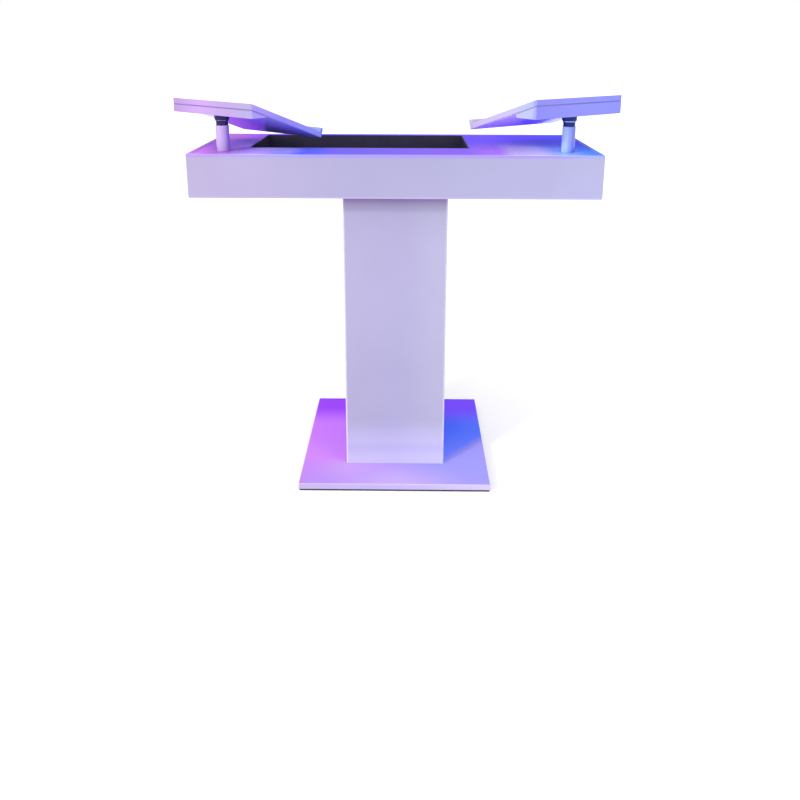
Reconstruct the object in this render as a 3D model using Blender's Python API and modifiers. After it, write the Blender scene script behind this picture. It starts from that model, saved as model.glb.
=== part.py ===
# DJ podium stand: a lacquered top box with a sunk equipment well, on a column and a steel base plate,
# with a swivelling, sloping tray on a short post at each end.
# Metres, +Z up. X runs to the right as the audience sees the stand, and the player stands on the +Y side.
# The origin is on the floor, at the centre of the footprint.
import math

import bmesh
import bpy
from mathutils import Matrix

# Seams and boards
SEAM = 0.0003
BOARD = 0.018
FINE_EDGE = 0.0006

# Base plate and the rubber mat under it
BASE_SIDE = 0.625
PLATE_THICKNESS = 0.020
PLATE_EDGE = 0.002
MAT_THICKNESS = 0.006
MAT_INSET = 0.002

# Column
COLUMN_WIDTH = 0.330
COLUMN_DEPTH = 0.370
COLUMN_EDGE = 0.006
COVER_MARGIN = 0.0008
CLEAT_SIDE = 0.018

# Top box
TOP_LENGTH = 1.250
TOP_DEPTH = 0.520
TOP_HEIGHT = 0.135
WORK_HEIGHT = 1.096
TOP_EDGE = 0.004
DECK_RECESS = 0.001
BATTEN_SIDE = 0.018

# Equipment well
WELL_LENGTH = 0.695
WELL_WIDTH = 0.340
WELL_DEPTH = 0.072
WELL_OFFSET = -0.115
WELL_REAR_STRIP = 0.012
LINER_WALL = 0.004
SLOT_LENGTH = 0.120
SLOT_WIDTH = 0.035
SLOT_MARGIN = 0.030
BEARER_WIDTH = 0.018
BEARER_SPREAD = 0.440

# Steel angles that hold the column to the plate and to the top box
ANGLE_LEG = 0.040
ANGLE_THICKNESS = 0.004
ANGLE_LENGTH = 0.240
BOLT_SPREAD = 0.180

# Fasteners
BOLT_RADIUS = 0.004
BOLT_HEAD_RADIUS = 0.008
BOLT_HEAD_HEIGHT = 0.004
BOLT_END = 0.001
TOP_SCREW_RADIUS = 0.0035
TOP_SCREW_HEAD_RADIUS = 0.0075
TOP_SCREW_HEAD_HEIGHT = 0.005
TOP_SCREW_BITE = 0.012
COVER_SCREW_RADIUS = 0.002
COVER_SCREW_HEAD_RADIUS = 0.0045
COVER_SCREW_HEAD_HEIGHT = 0.0024
COVER_SCREW_CROWN_RADIUS = 0.00225
COVER_SCREW_RIM_HEIGHT = 0.0008
COVER_SCREW_BITE = 0.010
COVER_SCREW_MARGIN = 0.080

# Cable ports
PORT_RADIUS = 0.030
PORT_LINING = 0.003
PORT_FLANGE = 0.005
PORT_FLANGE_HEIGHT = 0.002
COVER_PORT_HEIGHT = 0.120
TOP_PORT_SETBACK = 0.060

# Tray posts
POST_INSET = 0.098
POST_SETBACK = 0.075
SLEEVE_RADIUS = 0.020
SLEEVE_WALL = 0.0015
SLEEVE_HEIGHT = 0.078
NECK_HEIGHT = 0.013
RING_RADIUS = 0.0205
RING_HEIGHT = 0.0045
HUB_RADIUS = 0.0225
HUB_HEIGHT = 0.013
SPIGOT_RADIUS = 0.008
SPIGOT_BITE = 0.010
STUD_RADIUS = 0.008
STUD_LENGTH = 0.036
NUT_ACROSS = 0.024
NUT_HEIGHT = 0.013
PIN_RADIUS = 0.006
PIN_HEIGHT = 0.009
GRUB_RADIUS = 0.0025
GRUB_SINK = 0.0005
GRUB_SOCKET_RADIUS = 0.0014
GRUB_SOCKET_DEPTH = 0.004

# Trays
TRAY_LENGTH = 0.375
TRAY_SLOPE = 0.290
TRAY_BOARD = 0.018
TRAY_EDGE = 0.0015
TRAY_FRONT = 0.030
TRAY_SHIFT = 0.012
LIP_THICKNESS = 0.012
LIP_RISE = 0.013
LIP_ROUND = 0.005
PAD_THICKNESS = 0.002
PAD_MARGIN = 0.014
LEFT_TURN = math.radians(-38.7)
RIGHT_TURN = math.radians(36.6)
LEFT_TILT = math.radians(20.5)
RIGHT_TILT = math.radians(18.0)
LEFT_WEDGE_HEIGHT = 0.024
RIGHT_WEDGE_HEIGHT = 0.038
LEFT_WEDGE_DEPTH = 0.056
RIGHT_WEDGE_DEPTH = 0.080

# Mesh fineness
ROUND_STEPS = 40
SMALL_STEPS = 16
HEX_SIDES = 6
EDGE_SEGMENTS = 3
CUT_PAST = 0.002
WELD = 0.00001
FLAT_JOIN = math.radians(1.0)
SOFT_JOIN = math.radians(40.0)
LIP_ARC_STEPS = 4

# Levels and faces that several pieces share
PLATE_UNDER = MAT_THICKNESS + SEAM
PLATE_TOP = PLATE_UNDER + PLATE_THICKNESS
TOP_UNDER = WORK_HEIGHT - TOP_HEIGHT
FLOOR_TOP = TOP_UNDER + BOARD
DECK_TOP = WORK_HEIGHT - DECK_RECESS
DECK_UNDER = DECK_TOP - BOARD
COLUMN_FOOT = PLATE_TOP + SEAM
COLUMN_HEAD = TOP_UNDER - SEAM
COLUMN_INNER = COLUMN_WIDTH / 2 - BOARD
TOP_INNER_X = TOP_LENGTH / 2 - BOARD
TOP_INNER_Y = TOP_DEPTH / 2 - BOARD
COVER_FACE = COLUMN_DEPTH / 2
COVER_BACK = COVER_FACE - BOARD
CLEAT_MIDDLE = COLUMN_INNER - SEAM - CLEAT_SIDE / 2
ANGLE_MIDDLE = COLUMN_INNER - SEAM - ANGLE_THICKNESS - (ANGLE_LEG - ANGLE_THICKNESS) / 2
WELL_BACK = TOP_INNER_Y - SEAM - WELL_REAR_STRIP
WELL_FRONT = WELL_BACK - WELL_WIDTH
WELL_LEFT = WELL_OFFSET - WELL_LENGTH / 2
WELL_RIGHT = WELL_OFFSET + WELL_LENGTH / 2
WELL_FLOOR = DECK_TOP - WELL_DEPTH
LINER_UNDER = WELL_FLOOR - LINER_WALL
POST_X = TOP_LENGTH / 2 - POST_INSET
POST_Y = POST_SETBACK - TOP_DEPTH / 2
SLEEVE_TOP = DECK_TOP + SEAM + SLEEVE_HEIGHT
NECK_RADIUS = SLEEVE_RADIUS - SLEEVE_WALL - SEAM
NECK_TOP = SLEEVE_TOP + NECK_HEIGHT
RING_UNDER = NECK_TOP + SEAM
HUB_UNDER = RING_UNDER + RING_HEIGHT + SEAM
HEAD_TOP = HUB_UNDER + HUB_HEIGHT + SEAM

LACQUER = (0.560, 0.530, 0.820)
STEEL_WHITE = (0.600, 0.540, 0.850)
BLACK = (0.012, 0.012, 0.014)
ZINC = (0.560, 0.570, 0.580)
CHROME = (0.800, 0.800, 0.820)
TIMBER = (0.520, 0.360, 0.200)

# Colour, roughness and metallic value of each finish
FINISHES = {
    "gloss lacquer": (LACQUER, 0.12, 0.0),
    "powder coat": (STEEL_WHITE, 0.18, 0.0),
    "black rubber": (BLACK, 0.75, 0.0),
    "black plastic": (BLACK, 0.40, 0.0),
    "black steel": (BLACK, 0.32, 0.9),
    "zinc steel": (ZINC, 0.35, 1.0),
    "chrome": (CHROME, 0.08, 1.0),
    "bare timber": (TIMBER, 0.70, 0.0),
}

for old in list(bpy.data.objects):
    bpy.data.objects.remove(old, do_unlink=True)
STAND = bpy.data.collections.new("dj_podium_stand")
CUTTERS = bpy.data.collections.new("cutters")
bpy.context.scene.collection.children.link(STAND)
bpy.context.scene.collection.children.link(CUTTERS)


def dress(piece, finish):
    """Give a piece its own Principled material."""
    colour, roughness, metallic = FINISHES[finish]
    material = bpy.data.materials.new(piece.name + " " + finish)
    material.use_nodes = True
    shader = material.node_tree.nodes["Principled BSDF"]
    shader.inputs["Base Color"].default_value = (*colour, 1.0)
    shader.inputs["Roughness"].default_value = roughness
    shader.inputs["Metallic"].default_value = metallic
    piece.data.materials.append(material)


def settle(name, shape, finish, parent):
    """Turn a bmesh into an object: a piece where it has a finish, and otherwise a cutter."""
    mesh = bpy.data.meshes.new(name)
    shape.to_mesh(mesh)
    shape.free()
    piece = bpy.data.objects.new(name, mesh)
    piece.parent = parent
    if finish:
        STAND.objects.link(piece)
        dress(piece, finish)
    else:
        CUTTERS.objects.link(piece)
        piece.hide_render = True
        piece.display_type = "WIRE"
    return piece


def box(name, low, high, finish=None, parent=None, round_edge=0.0, shown=()):
    """A box between two corners. Edges between two faces in shown are rounded, the rest only eased."""
    shape = bmesh.new()
    bmesh.ops.create_cube(shape, size=1.0)
    size = [top - bottom for bottom, top in zip(low, high)]
    bmesh.ops.scale(shape, vec=size, verts=shape.verts)
    shape.normal_update()
    weights = shape.edges.layers.float.new("bevel_weight_edge")
    for edge in shape.edges:
        sides = [face_side(face) for face in edge.link_faces]
        outer = all(side in shown for side in sides)
        edge[weights] = 1.0 if outer else FINE_EDGE / max(round_edge, FINE_EDGE)
    piece = settle(name, shape, finish, parent)
    piece.location = [(bottom + top) / 2 for bottom, top in zip(low, high)]
    if finish:
        ease(piece, max(round_edge, FINE_EDGE))
    return piece


def face_side(face):
    """The name of the side that a box's face looks to, such as +X."""
    axis = max(range(3), key=lambda index: abs(face.normal[index]))
    return ("+" if face.normal[axis] > 0 else "-") + "XYZ"[axis]


def ease(piece, width):
    """Bevel the weighted edges of a piece."""
    bevel = piece.modifiers.new("eased edges", "BEVEL")
    bevel.width = width
    bevel.segments = EDGE_SEGMENTS if width > FINE_EDGE else 1
    bevel.limit_method = "WEIGHT"


def turned(name, profile, finish=None, parent=None, steps=ROUND_STEPS, closed=False):
    """A profile of (radius, height) points, outer side from top to bottom, turned about Z."""
    shape = bmesh.new()
    points = [shape.verts.new((radius, 0.0, height)) for radius, height in profile]
    for first, second in zip(points, points[1:]):
        shape.edges.new((first, second))
    if closed:
        shape.edges.new((points[-1], points[0]))
    piece = settle(name, shape, finish, parent)
    screw = piece.modifiers.new("turned", "SCREW")
    screw.axis = "Z"
    screw.steps = steps
    screw.render_steps = steps
    screw.use_merge_vertices = True
    screw.merge_threshold = WELD
    depsgraph = bpy.context.evaluated_depsgraph_get()
    mesh = bpy.data.meshes.new_from_object(piece.evaluated_get(depsgraph))
    mesh.shade_smooth()
    mesh.set_sharp_from_angle(angle=SOFT_JOIN)
    piece.modifiers.clear()
    piece.data = mesh
    return piece


def rod(name, radius, bottom, top, finish=None, parent=None, steps=SMALL_STEPS):
    """A plain round bar about Z."""
    profile = [(0.0, top), (radius, top), (radius, bottom), (0.0, bottom)]
    return turned(name, profile, finish, parent, steps)


def extruded(name, outline, length, finish, parent=None, edge=FINE_EDGE):
    """An outline of (y, z) points, drawn out along X and centred on x = 0."""
    curve = bpy.data.curves.new(name + " outline", "CURVE")
    curve.dimensions = "2D"
    curve.fill_mode = "BOTH"
    curve.extrude = length / 2
    spline = curve.splines.new("POLY")
    spline.points.add(len(outline) - len(spline.points))
    for point, (across, up) in zip(spline.points, outline):
        point.co = (across, up, 0.0, 1.0)
    spline.use_cyclic_u = True
    drawing = bpy.data.objects.new(name + " outline", curve)
    CUTTERS.objects.link(drawing)
    depsgraph = bpy.context.evaluated_depsgraph_get()
    mesh = bpy.data.meshes.new_from_object(drawing.evaluated_get(depsgraph))
    bpy.data.objects.remove(drawing, do_unlink=True)
    shape = bmesh.new()
    shape.from_mesh(mesh)
    bpy.data.meshes.remove(mesh)
    bmesh.ops.remove_doubles(shape, verts=shape.verts, dist=WELD)
    turn = Matrix(((0, 0, 1), (1, 0, 0), (0, 1, 0)))
    bmesh.ops.transform(shape, matrix=turn.to_4x4(), verts=shape.verts)
    bmesh.ops.recalc_face_normals(shape, faces=shape.faces)
    bmesh.ops.dissolve_limit(shape, angle_limit=FLAT_JOIN, verts=shape.verts, edges=shape.edges)
    weights = shape.edges.layers.float.new("bevel_weight_edge")
    for drawn in shape.edges:
        drawn[weights] = 1.0 if drawn.calc_face_angle(0.0) > SOFT_JOIN else 0.0
    piece = settle(name, shape, finish, parent)
    ease(piece, edge)
    return piece


def cut(piece, cutter):
    """Take the cutter's space out of the piece."""
    trim = piece.modifiers.new("cut by " + cutter.name, "BOOLEAN")
    trim.operation = "DIFFERENCE"
    trim.solver = "EXACT"
    trim.object = cutter


def port(name, centre, facing):
    """A plastic lining for a round cable hole, with its flange on the side that facing turns up."""
    outer = PORT_RADIUS - SEAM
    bore = outer - PORT_LINING
    flange = PORT_RADIUS + PORT_FLANGE
    top = SEAM + PORT_FLANGE_HEIGHT
    bottom = -BOARD
    profile = [(bore, top), (flange, top), (flange, SEAM), (outer, SEAM), (outer, bottom), (bore, bottom)]
    lining = turned(name, profile, "black plastic", closed=True)
    lining.location = centre
    lining.rotation_euler = facing
    hole = rod(name + " hole", PORT_RADIUS, -BOARD - CUT_PAST, CUT_PAST, steps=ROUND_STEPS)
    hole.location = centre
    hole.rotation_euler = facing
    return hole


# Base: a rubber mat, and a coated steel plate that the column is bolted to from below
half_mat = BASE_SIDE / 2 - MAT_INSET
half_base = BASE_SIDE / 2
box("base_mat", (-half_mat, -half_mat, 0.0), (half_mat, half_mat, MAT_THICKNESS), "black rubber")
base_plate = box(
    "base_plate",
    (-half_base, -half_base, PLATE_UNDER),
    (half_base, half_base, PLATE_TOP),
    "powder coat",
    round_edge=PLATE_EDGE,
    shown=("-X", "+X", "-Y", "+Y", "+Z"),
)

# Column boards: the front one overlaps the two sides, and the rear cover sits between them
box(
    "column_front",
    (-COLUMN_WIDTH / 2, -COLUMN_DEPTH / 2, COLUMN_FOOT),
    (COLUMN_WIDTH / 2, BOARD - COLUMN_DEPTH / 2, COLUMN_HEAD),
    "gloss lacquer",
    round_edge=COLUMN_EDGE,
    shown=("-X", "+X", "-Y"),
)
for side, sign in (("left", -1), ("right", 1)):
    inner, outer = sorted((sign * COLUMN_INNER, sign * COLUMN_WIDTH / 2))
    box(
        "column_" + side,
        (inner, BOARD - COLUMN_DEPTH / 2 + SEAM, COLUMN_FOOT),
        (outer, COVER_FACE, COLUMN_HEAD),
        "gloss lacquer",
    )
column_cover = box(
    "column_rear_cover",
    (-COLUMN_INNER + COVER_MARGIN, COVER_BACK, COLUMN_FOOT + SEAM),
    (COLUMN_INNER - COVER_MARGIN, COVER_FACE, COLUMN_HEAD - SEAM),
    "gloss lacquer",
)
cover_port_centre = (0.0, COVER_FACE, COLUMN_FOOT + COVER_PORT_HEIGHT)
cut(column_cover, port("column_cable_port", cover_port_centre, (-math.pi / 2, 0.0, 0.0)))

# Timber cleats inside the column, and the four screws that hold the rear cover to them
number = 0
for side, sign in (("left", -1), ("right", 1)):
    middle = sign * CLEAT_MIDDLE
    cleat = box(
        "cover_cleat_" + side,
        (middle - CLEAT_SIDE / 2, COVER_BACK - SEAM - CLEAT_SIDE, COLUMN_FOOT),
        (middle + CLEAT_SIDE / 2, COVER_BACK - SEAM, COLUMN_HEAD),
        "bare timber",
    )
    for height in (COLUMN_FOOT + COVER_SCREW_MARGIN, COLUMN_HEAD - COVER_SCREW_MARGIN):
        number += 1
        name = f"cover_screw_{number}"
        tip = -BOARD - SEAM - COVER_SCREW_BITE
        profile = [
            (0.0, SEAM + COVER_SCREW_HEAD_HEIGHT),
            (COVER_SCREW_CROWN_RADIUS, SEAM + COVER_SCREW_HEAD_HEIGHT),
            (COVER_SCREW_HEAD_RADIUS, SEAM + COVER_SCREW_RIM_HEIGHT),
            (COVER_SCREW_HEAD_RADIUS, SEAM),
            (COVER_SCREW_RADIUS, SEAM),
            (COVER_SCREW_RADIUS, tip),
            (0.0, tip),
        ]
        screw = turned(name, profile, "zinc steel", steps=SMALL_STEPS)
        hole = rod(name + " hole", COVER_SCREW_RADIUS + SEAM, tip - SEAM, CUT_PAST)
        for item in (screw, hole):
            item.location = (middle, COVER_FACE, height)
            item.rotation_euler = (-math.pi / 2, 0.0, 0.0)
        cut(column_cover, hole)
        cut(cleat, hole)

# Steel angles in the foot and the head of the column, each bolted through its flat leg
top_floor = box(
    "top_floor",
    (-TOP_INNER_X + SEAM, -TOP_INNER_Y + SEAM, TOP_UNDER),
    (TOP_INNER_X - SEAM, TOP_INNER_Y - SEAM, FLOOR_TOP),
    "gloss lacquer",
)
number = 0
for side, sign in (("left", -1), ("right", 1)):
    wall = COLUMN_INNER - SEAM
    near = wall - ANGLE_LEG
    leg = wall - ANGLE_THICKNESS
    low = COLUMN_FOOT
    high = COLUMN_HEAD
    foot_outline = [
        (wall, low),
        (wall, low + ANGLE_LEG),
        (leg, low + ANGLE_LEG),
        (leg, low + ANGLE_THICKNESS),
        (near, low + ANGLE_THICKNESS),
        (near, low),
    ]
    head_outline = [(across, low + high - up) for across, up in foot_outline]
    turn = math.pi / 2 if sign < 0 else -math.pi / 2
    foot_angle = extruded("foot_angle_" + side, foot_outline, ANGLE_LENGTH, "zinc steel")
    head_angle = extruded("head_angle_" + side, head_outline, ANGLE_LENGTH, "zinc steel")
    for angle in (foot_angle, head_angle):
        angle.rotation_euler = (0.0, 0.0, turn)
    for along in (-BOLT_SPREAD / 2, BOLT_SPREAD / 2):
        number += 1
        place = (sign * ANGLE_MIDDLE, along, 0.0)
        bolt_top = COLUMN_FOOT + ANGLE_THICKNESS + BOLT_END
        head_wide = PLATE_UNDER + BOLT_HEAD_HEIGHT
        profile = [
            (0.0, bolt_top),
            (BOLT_RADIUS, bolt_top),
            (BOLT_RADIUS, head_wide),
            (BOLT_HEAD_RADIUS, PLATE_UNDER),
            (0.0, PLATE_UNDER),
        ]
        bolt = turned(f"base_bolt_{number}", profile, "zinc steel", steps=SMALL_STEPS)
        sink = [
            (0.0, bolt_top + CUT_PAST),
            (BOLT_RADIUS + SEAM, bolt_top + CUT_PAST),
            (BOLT_RADIUS + SEAM, head_wide + SEAM),
            (BOLT_HEAD_RADIUS + SEAM, PLATE_UNDER + SEAM),
            (BOLT_HEAD_RADIUS + SEAM, PLATE_UNDER - CUT_PAST),
            (0.0, PLATE_UNDER - CUT_PAST),
        ]
        bolt_hole = turned(f"base_bolt_{number} hole", sink, steps=SMALL_STEPS)
        screw_head = COLUMN_HEAD - ANGLE_THICKNESS - SEAM
        screw_top = TOP_UNDER + TOP_SCREW_BITE
        profile = [
            (0.0, screw_top),
            (TOP_SCREW_RADIUS, screw_top),
            (TOP_SCREW_RADIUS, screw_head),
            (TOP_SCREW_HEAD_RADIUS, screw_head),
            (TOP_SCREW_HEAD_RADIUS, screw_head - TOP_SCREW_HEAD_HEIGHT),
            (0.0, screw_head - TOP_SCREW_HEAD_HEIGHT),
        ]
        top_screw = turned(f"top_screw_{number}", profile, "zinc steel", steps=SMALL_STEPS)
        hole_foot = screw_head - CUT_PAST
        screw_hole = rod(f"top_screw_{number} hole", TOP_SCREW_RADIUS + SEAM, hole_foot, screw_top + SEAM)
        for item in (bolt, bolt_hole, top_screw, screw_hole):
            item.location = place
        cut(base_plate, bolt_hole)
        cut(foot_angle, bolt_hole)
        cut(head_angle, screw_hole)
        cut(top_floor, screw_hole)

# Top box: front and rear boards run the full length, and the two end boards stand between them
outer_x = TOP_LENGTH / 2
outer_y = TOP_DEPTH / 2
box(
    "top_front",
    (-outer_x, -outer_y, TOP_UNDER),
    (outer_x, -TOP_INNER_Y, WORK_HEIGHT),
    "gloss lacquer",
    round_edge=TOP_EDGE,
    shown=("-X", "+X", "-Y", "-Z", "+Z"),
)
box(
    "top_rear",
    (-outer_x, TOP_INNER_Y, TOP_UNDER),
    (outer_x, outer_y, WORK_HEIGHT),
    "gloss lacquer",
    round_edge=TOP_EDGE,
    shown=("-X", "+X", "+Y", "-Z", "+Z"),
)
for side, sign in (("left", -1), ("right", 1)):
    inner, outer = sorted((sign * TOP_INNER_X, sign * outer_x))
    box(
        "top_end_" + side,
        (inner, -TOP_INNER_Y + SEAM, TOP_UNDER),
        (outer, TOP_INNER_Y - SEAM, WORK_HEIGHT),
        "gloss lacquer",
        round_edge=TOP_EDGE,
        shown=(("+X" if sign > 0 else "-X"), "-Z", "+Z"),
    )

# A cable hole through the floor of the top box, over the hollow column
top_port_centre = (0.0, COVER_BACK - TOP_PORT_SETBACK, FLOOR_TOP)
cut(top_floor, port("top_cable_port", top_port_centre, (0.0, 0.0, 0.0)))

# Deck: it lies a little below the rim, and has the well and the two post holes cut through it
deck = box(
    "deck",
    (-TOP_INNER_X + SEAM, -TOP_INNER_Y + SEAM, DECK_UNDER),
    (TOP_INNER_X - SEAM, TOP_INNER_Y - SEAM, DECK_TOP),
    "gloss lacquer",
)
well_hole = box(
    "well hole",
    (WELL_LEFT - SEAM, WELL_FRONT - SEAM, DECK_UNDER - CUT_PAST),
    (WELL_RIGHT + SEAM, WELL_BACK + SEAM, DECK_TOP + CUT_PAST),
)
cut(deck, well_hole)

# Timber battens that carry the deck along the front and both ends
batten_top = DECK_UNDER - SEAM
batten_under = batten_top - BATTEN_SIDE
batten_x = TOP_INNER_X - SEAM
batten_y = TOP_INNER_Y - SEAM
front_batten_back = BATTEN_SIDE - batten_y
box(
    "deck_batten_front",
    (-batten_x, -batten_y, batten_under),
    (batten_x, front_batten_back, batten_top),
    "bare timber",
)
for side, sign in (("left", -1), ("right", 1)):
    inner, outer = sorted((sign * (batten_x - BATTEN_SIDE), sign * batten_x))
    box(
        "deck_batten_" + side,
        (inner, front_batten_back + SEAM, batten_under),
        (outer, batten_y, batten_top),
        "bare timber",
    )

# Well liner: an open black tray let into the deck, with a cable slot in its floor, on two bearers
liner = box(
    "well_liner",
    (WELL_LEFT, WELL_FRONT, LINER_UNDER),
    (WELL_RIGHT, WELL_BACK, DECK_TOP),
    "black plastic",
)
liner_hollow = box(
    "well liner hollow",
    (WELL_LEFT + LINER_WALL, WELL_FRONT + LINER_WALL, WELL_FLOOR),
    (WELL_RIGHT - LINER_WALL, WELL_BACK - LINER_WALL, DECK_TOP + CUT_PAST),
)
slot_back = WELL_BACK - SLOT_MARGIN
liner_slot = box(
    "well liner slot",
    (WELL_OFFSET - SLOT_LENGTH / 2, slot_back - SLOT_WIDTH, LINER_UNDER - CUT_PAST),
    (WELL_OFFSET + SLOT_LENGTH / 2, slot_back, WELL_FLOOR + CUT_PAST),
)
cut(liner, liner_hollow)
cut(liner, liner_slot)
for side, sign in (("left", -1), ("right", 1)):
    middle = WELL_OFFSET + sign * BEARER_SPREAD / 2
    box(
        "well_bearer_" + side,
        (middle - BEARER_WIDTH / 2, WELL_FRONT, FLOOR_TOP + SEAM),
        (middle + BEARER_WIDTH / 2, WELL_BACK, LINER_UNDER - SEAM),
        "bare timber",
    )


def post(side, sign):
    """A white sleeve over a black steel core, bolted through the deck, with a bright ring on top."""
    foot = DECK_TOP + SEAM
    stud_end = foot - STUD_LENGTH
    spigot_top = HUB_UNDER + SPIGOT_BITE
    core_profile = [
        (0.0, spigot_top),
        (SPIGOT_RADIUS, spigot_top),
        (SPIGOT_RADIUS, NECK_TOP),
        (NECK_RADIUS, NECK_TOP),
        (NECK_RADIUS, foot),
        (STUD_RADIUS, foot),
        (STUD_RADIUS, stud_end),
        (0.0, stud_end),
    ]
    core = turned(side + "_post_core", core_profile, "black steel")
    sleeve_bore = NECK_RADIUS + SEAM
    sleeve_profile = [
        (sleeve_bore, SLEEVE_TOP),
        (SLEEVE_RADIUS - FINE_EDGE, SLEEVE_TOP),
        (SLEEVE_RADIUS, SLEEVE_TOP - FINE_EDGE),
        (SLEEVE_RADIUS, foot),
        (sleeve_bore, foot),
    ]
    sleeve = turned(side + "_post_sleeve", sleeve_profile, "powder coat", closed=True)
    ring_bore = SPIGOT_RADIUS + SEAM
    ring_top = RING_UNDER + RING_HEIGHT
    ring_profile = [
        (ring_bore, ring_top),
        (RING_RADIUS - FINE_EDGE, ring_top),
        (RING_RADIUS, ring_top - FINE_EDGE),
        (RING_RADIUS, RING_UNDER + FINE_EDGE),
        (RING_RADIUS - FINE_EDGE, RING_UNDER),
        (ring_bore, RING_UNDER),
    ]
    ring = turned(side + "_post_ring", ring_profile, "chrome", closed=True)
    nut_top = DECK_UNDER - SEAM
    nut_corner = NUT_ACROSS / 2 / math.cos(math.pi / HEX_SIDES)
    nut_shape = bmesh.new()
    bmesh.ops.create_cone(
        nut_shape,
        cap_ends=True,
        segments=HEX_SIDES,
        radius1=nut_corner,
        radius2=nut_corner,
        depth=NUT_HEIGHT,
    )
    nut = settle(side + "_post_nut", nut_shape, "zinc steel", None)
    nut_hole = rod(side + " nut hole", STUD_RADIUS + SEAM, -NUT_HEIGHT, NUT_HEIGHT, steps=ROUND_STEPS)
    cut(nut, nut_hole)
    stud_hole = rod(
        side + " stud hole",
        STUD_RADIUS + SEAM,
        DECK_UNDER - CUT_PAST,
        DECK_TOP + CUT_PAST,
        steps=ROUND_STEPS,
    )
    cut(deck, stud_hole)
    for item in (core, sleeve, ring, stud_hole):
        item.location = (sign * POST_X, POST_Y, 0.0)
    for item in (nut, nut_hole):
        item.location = (sign * POST_X, POST_Y, nut_top - NUT_HEIGHT / 2)


def tray(side, sign, turn, tilt, wedge_height, wedge_depth):
    """A tray that swivels about its post: hub, wedge, sloping board, lip and rubber pad."""
    pivot = bpy.data.objects.new(side + "_tray_pivot", None)
    STAND.objects.link(pivot)
    pivot.location = (sign * POST_X, POST_Y, HEAD_TOP)
    pivot.rotation_euler = (0.0, 0.0, turn)
    hub_foot = -SEAM - HUB_HEIGHT
    bore = SPIGOT_RADIUS + SEAM
    bore_end = hub_foot + SPIGOT_BITE + SEAM
    hub_profile = [
        (0.0, PIN_HEIGHT),
        (PIN_RADIUS, PIN_HEIGHT),
        (PIN_RADIUS, -SEAM),
        (HUB_RADIUS - FINE_EDGE, -SEAM),
        (HUB_RADIUS, -SEAM - FINE_EDGE),
        (HUB_RADIUS, hub_foot + FINE_EDGE),
        (HUB_RADIUS - FINE_EDGE, hub_foot),
        (bore, hub_foot),
        (bore, bore_end),
        (0.0, bore_end),
    ]
    hub = turned(side + "_swivel_hub", hub_profile, "black steel", pivot)
    grub_height = hub_foot + SPIGOT_BITE / 2
    grub_start = bore + SEAM
    grub_end = HUB_RADIUS - GRUB_SINK
    grub = rod(side + "_swivel_grub", GRUB_RADIUS, grub_start, grub_end, "zinc steel", pivot)
    grub_hole = rod(side + " grub hole", GRUB_RADIUS + SEAM, SPIGOT_RADIUS / 2, HUB_RADIUS + CUT_PAST, None, pivot)
    socket_foot = grub_end - GRUB_SOCKET_DEPTH
    socket_end = grub_end + CUT_PAST
    socket = rod(side + " grub socket", GRUB_SOCKET_RADIUS, socket_foot, socket_end, None, pivot, HEX_SIDES)
    for item in (grub, grub_hole, socket):
        item.location = (0.0, 0.0, grub_height)
        item.rotation_euler = (-math.pi / 2, 0.0, 0.0)
    cut(hub, grub_hole)
    cut(grub, socket)

    run = math.cos(tilt)
    fall = math.sin(tilt)
    front = -TRAY_FRONT
    wedge_tip = wedge_height - wedge_depth * math.tan(tilt)
    wedge_outline = [
        (front, 0.0),
        (front + wedge_depth, 0.0),
        (front + wedge_depth, wedge_tip),
        (front, wedge_height),
    ]
    wedge = extruded(side + "_tray_wedge", wedge_outline, TRAY_LENGTH, "gloss lacquer", pivot, FINE_EDGE)
    pin_hole = rod(side + " pin hole", PIN_RADIUS + SEAM, -CUT_PAST, PIN_HEIGHT + SEAM, None, pivot)
    cut(wedge, pin_hole)

    board_under = wedge_height + SEAM
    board_top = board_under + TRAY_BOARD / run

    def on_slope(along, above):
        """A point a distance down the tray's top face from its high edge, and above that face."""
        return (front + along * run + above * fall, board_top - along * fall + above * run)

    board_outline = [
        (front, board_under),
        on_slope(TRAY_SLOPE, -TRAY_BOARD),
        on_slope(TRAY_SLOPE, 0.0),
        (front, board_top),
    ]
    board = extruded(side + "_tray_board", board_outline, TRAY_LENGTH, "gloss lacquer", pivot, TRAY_EDGE)

    lip_start = TRAY_SLOPE + SEAM
    lip_end = lip_start + LIP_THICKNESS
    lip_outline = [on_slope(lip_start, -TRAY_BOARD), on_slope(lip_end, -TRAY_BOARD)]
    for centre, first in ((lip_end - LIP_ROUND, 0.0), (lip_start + LIP_ROUND, math.pi / 2)):
        for step in range(LIP_ARC_STEPS + 1):
            angle = first + math.pi / 2 * step / LIP_ARC_STEPS
            along = centre + LIP_ROUND * math.cos(angle)
            above = LIP_RISE - LIP_ROUND + LIP_ROUND * math.sin(angle)
            lip_outline.append(on_slope(along, above))
    lip = extruded(side + "_tray_lip", lip_outline, TRAY_LENGTH, "gloss lacquer", pivot)

    pad_outline = [
        on_slope(PAD_MARGIN, SEAM),
        on_slope(TRAY_SLOPE - PAD_MARGIN, SEAM),
        on_slope(TRAY_SLOPE - PAD_MARGIN, SEAM + PAD_THICKNESS),
        on_slope(PAD_MARGIN, SEAM + PAD_THICKNESS),
    ]
    pad = extruded(side + "_tray_pad", pad_outline, TRAY_LENGTH - 2 * PAD_MARGIN, "black rubber", pivot)
    for item in (wedge, board, lip, pad):
        item.location = (sign * TRAY_SHIFT, 0.0, 0.0)


for side, sign in (("left", -1), ("right", 1)):
    post(side, sign)
tray("left", -1, LEFT_TURN, LEFT_TILT, LEFT_WEDGE_HEIGHT, LEFT_WEDGE_DEPTH)
tray("right", 1, RIGHT_TURN, RIGHT_TILT, RIGHT_WEDGE_HEIGHT, RIGHT_WEDGE_DEPTH)
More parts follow.
